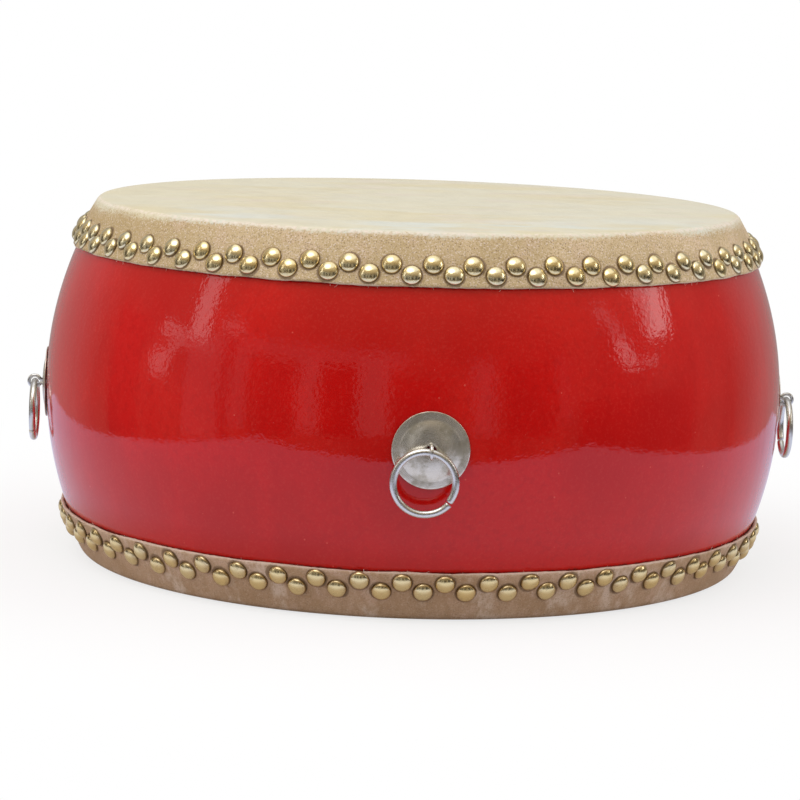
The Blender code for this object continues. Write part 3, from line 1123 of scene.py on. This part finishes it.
@dataclass
class NailRow:
    """One row of domed brass nails, each driven in by hand a little off its mark."""

    form: DrumForm
    mouth: Mouth
    row: Row
    crown_radius: float = 0.0086
    crown_reach: float = math.radians(40)
    shoulder_radius: float = 0.0024
    shoulder_reach: float = math.radians(84)
    foot_height: float = 0.0006
    foot_taper: float = 0.0005
    tuck: float = 0.0004
    sink: float = 0.00005
    sides: int = 28
    wander: float = 0.0005
    tilt: float = math.radians(5)
    uneven: float = 0.04

    @property
    def dome(self) -> float:
        """How high the nail's head stands: its crown, its shoulder and its foot.

        Returns:
            Its height over the hide.
        """
        crown = self.crown_radius * (1 - math.cos(self.crown_reach))
        shoulder = self.shoulder_radius * (math.cos(self.crown_reach) - math.cos(self.shoulder_reach))
        return crown + shoulder + self.foot_height

    def dome_profile(self) -> list[Point]:
        """The nail's head, from the tucked foot over the tight shoulder to the flatter crown.

        Returns:
            (radius, height) points.
        """
        half = self.form.nail_diameter / 2
        hub = self.dome - self.crown_radius
        knee = self.crown_radius - self.shoulder_radius
        centre = (knee * math.sin(self.crown_reach), hub + knee * math.cos(self.crown_reach))
        low, high = math.pi / 2 - self.shoulder_reach, math.pi / 2 - self.crown_reach
        shoulder = arc(centre, self.shoulder_radius, low, high, 4)
        crown = arc((0.0, hub), self.crown_radius, high, math.pi / 2, 5)
        foot = [(half - self.foot_taper, -self.tuck), (half, 0.0), (half - 0.00005, self.foot_height * 0.4)]
        return foot + shoulder + crown[1:-1] + [(0.0, self.dome)]

    def seat(self, number: int, draw: random.Random) -> Matrix:
        """Where one nail sits on the skirt, with its own small error.

        Args:
            number: The nail's place in its row.
            draw: The row's random numbers.

        Returns:
            The nail's frame, with its Z axis out of the hide.
        """
        form = self.form
        azimuth = form.row_start(self.row) + form.nail_pitch * number
        azimuth += draw.gauss(0.0, self.wander) / form.belly_radius
        depth = form.row_depth(self.row) + draw.gauss(0.0, self.wander * 0.8)
        height = form.level(self.mouth, depth)
        radius = form.radius(height, form.hide_offset - self.sink)
        place = Matrix.Rotation(azimuth, 4, "Z") @ Matrix.Translation((0.0, -radius, height))
        face = Matrix.Rotation(math.pi / 2 - form.slope(height), 4, "X")
        nod, roll = (Matrix.Rotation(draw.gauss(0.0, self.tilt / 2), 4, axis) for axis in "XY")
        return place @ face @ (nod @ roll) @ Matrix.Rotation(draw.uniform(0.0, math.pi), 4, "Z")

    def build(self, finish: bpy.types.Material) -> None:
        """Makes the row as one object.

        Args:
            finish: The brass.
        """
        draw = random.Random(f"{self.mouth.name} {self.row.name}")
        bm = bmesh.new()
        nail_map = bm.loops.layers.uv.new("nail_map")
        for number in range(self.form.nails_per_row):
            seat = self.seat(number, draw)
            tone = draw.random()
            squash = 1.0 + draw.gauss(0.0, self.uneven)
            rings: Corners = []
            rises = {}
            for radius, height in self.dome_profile():
                ring = []
                for angle in turns(self.sides if radius > ON_AXIS else 1):
                    place = (radius * math.cos(angle), radius * math.sin(angle), height * squash)
                    ring.append(bm.verts.new(seat @ Vector(place)))
                rises.update(dict.fromkeys(ring, min(1.0, max(0.0, height / self.dome))))
                rings.append(ring)
            for face in join_rings(bm, rings):
                for loop in face.loops:
                    loop[nail_map].uv = (tone, rises[loop.vert])
            bm.faces.new(rings[0][::-1])
        nails = add_object(f"brass_nails_{self.mouth.label}_{self.row.value}_row", bm, finish)
        mount_piece(nails, "drum", "brass_nail")


@dataclass
class RingSet:
    """A pressed plate, an eye pin through the wall, and the split ring that hangs in the eye."""

    form: DrumForm
    side: RingSide
    plate_diameter: float = 0.050
    plate_sheet: float = 0.001
    rim_width: float = 0.0052
    plate_dome: float = 0.0024
    plate_clearance: float = 0.0003
    hole_diameter: float = 0.0072
    hole_lip: float = 0.0004
    pin_wire: float = 0.0024
    pin_chamfer: float = 0.0002
    eye_hole: float = 0.0062
    eye_standoff: float = 0.0090
    leg_gap: float = 0.0003
    clinch_length: float = 0.012
    clinch_bend: float = 0.002
    clinch_depth: float = 0.0024
    ring_diameter: float = 0.0446
    ring_wire: float = 0.0048
    ring_chamfer: float = 0.0003
    ring_clearance: float = 0.0003
    ring_split: float = 0.0010
    split_step: float = 0.0005
    split_angle: float = math.radians(-38)
    plate_segments: int = 96

    @property
    def lean(self) -> float:
        """How far the ring hangs askew in its eye."""
        return math.radians(-11) if self.side is RingSide.FRONT else 0.0

    @property
    def eye_reach(self) -> float:
        """Distance of the eye's middle from the drum's axis."""
        return self.form.belly_radius + self.eye_standoff

    @property
    def ring_drop(self) -> float:
        """How far below the eye's middle the ring hangs in its play."""
        tilt = self.pin_wire / 2 * math.tan(abs(self.lean))
        return (self.eye_hole - self.ring_wire) / 2 - self.ring_clearance - tilt

    @property
    def plate_seat(self) -> float:
        """Where the plate sits on the bulge of the wall.

        Returns:
            Its distance from the drum's axis.
        """
        inside = self.plate_diameter / 2 - self.rim_width
        beside = math.sqrt(self.form.belly_radius**2 - inside**2)
        return max(beside, self.form.radius(self.form.ring_set_height + inside)) + self.plate_clearance

    def plate_profile(self) -> list[Point]:
        """The plate above the back of its rim: hole, dome, rim and back inside.

        Returns:
            (radius, height) points.
        """
        rim, hole = self.plate_diameter / 2, self.hole_diameter / 2
        foot, start = rim - self.rim_width, hole + self.hole_lip
        sheet, dome = self.plate_sheet, self.plate_dome
        crown = []
        for share in spread(0.0, 1.0, 12):
            crown.append((start + (foot - start) * share, sheet + dome * (1 - share**2.1) ** 0.92))
        lip = [(foot + 0.0008, sheet - 0.00003), (foot + 0.0022, sheet - 0.00008)]
        lip += [(rim - 0.0010, sheet - 0.00016)]
        lip += arc((rim - 0.0004, sheet - 0.0006), 0.0004, math.pi / 2.4, 0.0, 3)
        back = [(rim, 0.0001), (rim - 0.0002, 0.0), (foot, 0.0)]
        hollow = [(radius, max(0.0, height - sheet)) for radius, height in crown[::-1][1:]]
        mouth = [(hole, dome + 0.0002), (hole, sheet + dome - 0.0003)]
        return crown + lip + back + hollow + mouth

    def plate_mesh(self) -> bmesh.types.BMesh:
        """Turns the plate and lays it to face out of the wall.

        Returns:
            The plate's mesh.
        """
        bm = turned_mesh(self.plate_profile(), self.plate_segments, True)
        bmesh.ops.rotate(bm, verts=bm.verts, matrix=Matrix.Rotation(math.pi / 2, 3, "X"))
        return bm

    def pin_path(self) -> list[Vector]:
        """The eye pin's centre line, from one clinched tip round the eye to the other.

        Returns:
            Points in the plane of the drum's axis.
        """
        eye_radius = (self.eye_hole + self.pin_wire) / 2 - 0.0002
        offset = (self.pin_wire + self.leg_gap) / 2
        throat = math.asin(offset / eye_radius)
        lying = self.form.radius(self.form.ring_set_height, -self.form.wall) - self.clinch_depth
        leg = [(lying, offset + self.clinch_bend + self.clinch_length)]
        for angle in spread(math.pi / 2, 0.0, 6):
            out = lying + self.clinch_bend * (1 - math.sin(angle))
            leg.append((out, offset + self.clinch_bend * (1 - math.cos(angle))))
        eye = arc((self.eye_reach, 0.0), eye_radius, math.pi + throat, 3 * math.pi - throat, 40)
        line = [(out, -up) for out, up in leg] + eye + leg[::-1]
        return [Vector((0.0, -out, up)) for out, up in line]

    def ring_path(self) -> list[Vector]:
        """The ring's centre line about the point that holds it, the ends sprung a little out of line.

        Returns:
            Points in the plane of the ring.
        """
        radius = (self.ring_diameter - self.ring_wire) / 2
        gap = (self.ring_split + 2 * self.ring_chamfer) / radius
        start = self.split_angle + gap / 2
        centre = Vector((radius * math.sin(self.lean), 0.0, -radius * math.cos(self.lean)))
        path = []
        for share in spread(0.0, 1.0, 120):
            angle = start + (math.tau - gap) * share
            ends = smooth_share(share, 0.86, 1.0) - smooth_share(share, 0.10, 0.0) * 0.4
            out = radius + self.split_step * ends
            path.append(centre + out * Vector((math.cos(angle), 0.0, math.sin(angle))))
        return path

    def build(self, plate_steel: bpy.types.Material, wire_steel: bpy.types.Material) -> None:
        """Makes the three pieces, each at its reach from the axis and its height.

        Args:
            plate_steel: The plate's steel.
            wire_steel: The steel of the pin and the ring.
        """
        height = self.form.ring_set_height
        pin = tube_mesh(self.pin_path(), self.pin_wire / 2, 16, self.pin_chamfer)
        ring = tube_mesh(self.ring_path(), self.ring_wire / 2, 24, self.ring_chamfer)
        ring_body = f"{self.side.label}_ring"
        for kind, bm, steel, reach, level, body in (
            ("ring_plate", self.plate_mesh(), plate_steel, self.plate_seat, height, "drum"),
            ("eye_pin", pin, wire_steel, 0.0, height, "drum"),
            ("pull_ring", ring, wire_steel, self.eye_reach, height - self.ring_drop, ring_body),
        ):
            piece = add_object(f"{self.side.label}_{kind}", bm, steel)
            turn = Matrix.Rotation(self.side.azimuth, 4, "Z")
            piece.matrix_world = turn @ Matrix.Translation((0.0, -reach, level))
            mount_piece(piece, body, "stainless_steel", [f"{kind}_{self.side.label}"])


@dataclass(frozen=True)
class Pane:
    """A soft-edged patch of light or dark on the screens, in degrees as seen from the drum."""

    azimuth: float
    elevation: float
    half_width: float
    half_height: float
    strength: float
    lean: float = 0.0
    soft: float = 1.6


@dataclass
class Studio:
    """A square pale table in soft light, with a dim room about it for gloss to reflect."""

    form: DrumForm
    table_side: float = 1.30
    table_middle: Place = (0.015, -0.03, -0.0004)
    table_grey: Colour = (0.82, 0.82, 0.82, 1)
    table_bounce: Colour = (0.55, 0.54, 0.54, 1)
    # painted shadow: the table's colour close to the drum, seen only in reflections
    table_near: Colour = (0.34, 0.27, 0.23, 1)
    table_far: Colour = (0.66, 0.70, 0.90, 1)
    screen_radius: float = 2.2
    screen_foot: float = -0.55
    screen_top: float = 4.0
    screen_segments: int = 96
    room_dark: Colour = (0.10, 0.080, 0.058, 1)
    room_dim: Colour = (0.22, 0.18, 0.13, 1)
    room_upper: Colour = (0.50, 0.40, 0.26, 1)
    room_behind: Colour = (0.36, 0.34, 0.33, 1)
    room_corners: Patches = Patches(1.0, 3.0, 0.5, 0.35, 0.65, 1.0, (2.2, 2.2, 0.8))
    lamp_place: Place = (-0.7, -0.9, 2.6)
    lamp_size: float = 2.2
    lamp_power: float = 18.0
    side_boost: float = 3.6
    sky_foot: Colour = (0.445, 0.445, 0.46, 1)
    sky_top: Colour = (0.87, 0.855, 0.835, 1)
    ground: Colour = (0.30, 0.29, 0.29, 1)
    camera_place: Place = (-0.10168, -2.09616, 0.42138)
    camera_lens: float = 132.51
    camera_turn: float = math.radians(0.244 - 2.777)
    camera_pitch: float = math.radians(-8.482)
    camera_roll: float = math.radians(-1.799)
    panes: tuple[Pane, ...] = (
        Pane(-54.0, 5.0, 3.6, 12.0, 0.34, 0.0, 1.2),
        Pane(-30.0, 16.5, 26.0, 3.2, 0.34),
        Pane(-42.5, 2.5, 6.4, 10.5, 0.03, 0.0, 1.2),
        Pane(-32.5, 5.0, 3.2, 11.0, 0.44, 0.0, 1.0),
        Pane(-23.5, 3.5, 5.5, 10.5, 0.01, 0.0, 0.9),
        Pane(-13.6, 6.0, 4.9, 12.0, 0.44, 0.0, 1.2),
        Pane(-1.5, 2.0, 7.0, 10.0, 0.03),
        Pane(17.5, 6.0, 4.0, 12.0, 0.36, 0.0, 2.0),
        Pane(31.0, 5.0, 8.0, 11.0, 0.02),
        Pane(66.0, -3.5, 22.0, 8.5, 0.01, 0.0, 3.0),
        Pane(41.5, 7.5, 2.4, 10.0, 0.22),
        Pane(-97.0, 1.0, 8.0, 14.0, 0.01),
        Pane(-66.0, 3.5, 7.5, 14.5, 0.38),
        Pane(-70.0, 13.5, 7.0, 2.8, 0.70, 0.0, 2.0),
        Pane(-72.5, 4.0, 0.9, 9.0, 0.10, 0.0, 0.6),
        Pane(-58.5, 3.0, 2.2, 14.0, 0.05),
        Pane(-72.5, 28.0, 4.0, 14.0, 2.1, -0.17),
        Pane(-80.0, 14.5, 5.8, 2.6, 1.5, 0.0, 2.4),
        Pane(-82.5, 6.0, 4.4, 4.2, 1.2, 0.0, 2.4),
        Pane(-79.5, 9.5, 2.4, 4.0, 1.2, 1.0, 1.4),
        Pane(-59.5, 20.0, 4.4, 2.2, 0.9),
        Pane(76.0, 25.5, 4.2, 9.5, 1.7, 0.15),
        Pane(81.5, 25.5, 4.8, 10.5, 3.4, 0.45),
        Pane(61.5, 19.5, 3.2, 9.0, 1.0, -0.46, 2.4),
        Pane(63.0, 14.0, 3.0, 4.4, 2.2, -0.46, 2.0),
        Pane(71.0, 11.0, 3.4, 1.5, 1.5, 0.4, 1.2),
    )

    def light_world(self) -> None:
        """A white surround to look at, and a soft sky, brighter at the sides, that lights the drum."""
        world = bpy.data.worlds.new("soft_sky")
        world.use_nodes = True
        bpy.context.scene.world = world
        graph = Graph(world.node_tree)
        across, _, up = graph.add("SeparateXYZ", {0: graph.add("TexCoord").outputs["Generated"]}).outputs
        sky = graph.mix(graph.fade(up, -0.1, 0.9), self.sky_foot, self.sky_top)
        sky = graph.mix(graph.fade(up, 0.02, -0.10), sky, self.ground)
        boost = graph.math("MULTIPLY_ADD", graph.math("POWER", across, 4.0), self.side_boost, 1.0)
        lights = graph.add("Background", {"Color": sky, "Strength": boost}).outputs[0]
        shows = graph.add("Background", {"Color": WHITE, "Strength": 1.0}).outputs[0]
        both = graph.add("MixShader", {0: graph.seen_directly(), 1: lights, 2: shows})
        graph.finish(both, "OutputWorld")

    def lay_table(self) -> None:
        """The table, which keeps the drum's soft shadow and turns white towards its edge. Reflections see a
        painted shadow on it, dark brown close to the drum.
        """
        made, graph = new_material("pale_table")
        out = graph.add("VectorMath", {0: graph.place()}, operation="LENGTH").outputs["Value"]
        path = graph.add("LightPath").outputs
        # painted shadow: reflections see the table dark brown close to the drum, paling to cool white
        # further out
        shade = graph.mix(graph.fade(out, 0.255, 0.325), self.table_near, self.table_far)
        cool = graph.mix(path["Is Glossy Ray"], WHITE, shade)
        grey = graph.mix(path["Is Diffuse Ray"], self.table_grey, self.table_bounce)
        lit = graph.add("BsdfDiffuse", {"Color": grey}).outputs[0]
        shows = graph.add("Emission", {"Color": cool, "Strength": 1.0}).outputs[0]
        share = graph.times(graph.seen_directly(), graph.fade(out, 0.30, 0.62, 0.72, 1.0))
        graph.finish(graph.add("MixShader", {0: share, 1: lit, 2: shows}))
        bm = bmesh.new()
        bmesh.ops.create_grid(bm, x_segments=8, y_segments=8, size=self.table_side / 2)
        bmesh.ops.translate(bm, verts=bm.verts, vec=self.table_middle)
        table = add_object("pale_table", bm, made)

    def paint_pane(self, graph: Graph, light: Value, turn: Socket, rise: Socket, pane: Pane) -> Socket:
        """Paints one pane over what the screens show.

        Args:
            graph: The screens' graph.
            light: What they show so far.
            turn: Azimuth in degrees.
            rise: Elevation in degrees.
            pane: The pane.

        Returns:
            What they show with the pane.
        """
        up = graph.less(rise, pane.elevation)
        across = graph.math("MULTIPLY_ADD", up, -pane.lean, graph.less(turn, pane.azimuth))
        insides = []
        for away, half in ((across, pane.half_width), (up, pane.half_height)):
            insides.append(graph.fade(graph.math("ABSOLUTE", away), half, half - pane.soft))
        shine = pane.strength
        return graph.mix(graph.times(*insides), light, (shine, shine * 0.98, shine * 0.96, 1))

    def hang_screens(self) -> None:
        """A dim room with bright windows at its sides. Only reflections show it."""
        made, graph = new_material("dim_room")
        degrees = math.degrees(1.0)
        turn = graph.times(graph.azimuth(), degrees)
        above = graph.less(graph.axis(2), self.form.belly_height)
        rise = graph.times(graph.math("ARCTAN2", above, self.screen_radius), degrees)
        light = graph.stain(self.room_dark, self.room_corners, self.room_dim)
        light = graph.mix(graph.fade(rise, 12.0, 44.0), light, self.room_upper)
        behind = graph.fade(graph.math("ABSOLUTE", turn), 104.0, 128.0)
        light = graph.mix(behind, light, self.room_behind)
        for pane in self.panes:
            light = self.paint_pane(graph, light, turn, rise, pane)
        ceiling = graph.math("MULTIPLY_ADD", graph.grain(0.8, 3.0), 16.0, rise)
        light = graph.mix(graph.fade(ceiling, 56.0, 66.0), light, WHITE)
        graph.finish(graph.add("Emission", {"Color": light, "Strength": 1.0}))
        bm = bmesh.new()
        rings: Corners = []
        for height in spread(self.screen_foot, self.screen_top, 6):
            places = [about_axis(self.screen_radius, angle, height) for angle in turns(self.screen_segments)]
            rings.append([bm.verts.new(place) for place in places])
        join_rings(bm, rings)
        screens = add_object("dim_room", bm, made)
        screens.visible_camera = False
        screens.visible_diffuse = False
        screens.visible_shadow = False

    def hang_lamp(self) -> None:
        """A wide soft lamp overhead, a little towards the viewer's left."""
        data = bpy.data.lights.new("overhead_softbox", "AREA")
        data.shape = "DISK"
        data.size = self.lamp_size
        data.energy = self.lamp_power
        lamp = link_object("overhead_softbox", data)
        lamp.location = self.lamp_place
        aim = Vector((0.0, 0.0, self.form.belly_height)) - lamp.location
        lamp.rotation_euler = aim.to_track_quat("-Z", "Y").to_euler()
        lamp.visible_camera = False

    def set_camera(self) -> None:
        """The camera, at the photograph's place."""
        data = bpy.data.cameras.new("camera")
        data.sensor_width = 36.0
        data.lens = self.camera_lens
        camera = link_object("camera", data)
        view = Matrix.Translation(self.camera_place)
        for angle, axis in ((self.camera_turn, "Z"), (self.camera_pitch, "X"), (self.camera_roll, "Y")):
            view = view @ Matrix.Rotation(angle, 4, axis)
        camera.matrix_world = view @ Matrix.Rotation(math.pi / 2, 4, "X")
        bpy.context.scene.camera = camera

    def build(self) -> None:
        """Sets the stage."""
        bpy.context.scene.view_settings.view_transform = "Standard"
        self.light_world()
        self.lay_table()
        self.hang_screens()
        self.hang_lamp()
        self.set_camera()


def main() -> None:
    """Builds the studio and the drum's sub-assemblies."""
    logging.basicConfig(level=logging.INFO, format="%(name)s: %(message)s")
    form = DrumForm()
    Studio(form).build()
    LacqueredShell(form).build(RedLacquer(form).material())
    bright = PolishedBrass("polished_brass_00", (0.95, 0.79, 0.43, 1), (0.96, 0.86, 0.57, 1), 0.0)
    # the bottom rows carry the tan film of dust and painted reflection
    dusty_shaded_brass = PolishedBrass("polished_brass_04", (0.91, 0.71, 0.33, 1), (0.93, 0.78, 0.43, 1), 0.45)
    brass = {Mouth.TOP: bright.material(), Mouth.BOTTOM: dusty_shaded_brass.material()}
    fibre = HideFibre().material()
    for mouth in Mouth:
        StretchedHide(form, mouth).build(Rawhide(form, mouth).material())
        FrayedEdge(form, mouth).build(fibre)
        for row in Row:
            NailRow(form, mouth, row).build(brass[mouth])
    plate, wire = SteelWork.PRESSED_PLATE, SteelWork.DRAWN_WIRE
    handled, greasy = (0.79, 0.735, 0.64, 1), (0.38, 0.335, 0.235, 1)
    clean, dull = (0.79, 0.785, 0.77, 1), (0.55, 0.53, 0.49, 1)
    plate_steel = StainlessSteel(plate, handled, greasy, 0.75, 0.20, 0.29, 0.00014, 0.86).material()
    wire_steel = StainlessSteel(wire, clean, dull, 0.30, 0.18, 0.32, 0.00004, 1.0).material()
    for side in RingSide:
        RingSet(form, side).build(plate_steel, wire_steel)


if __name__ == "__main__":
    main()
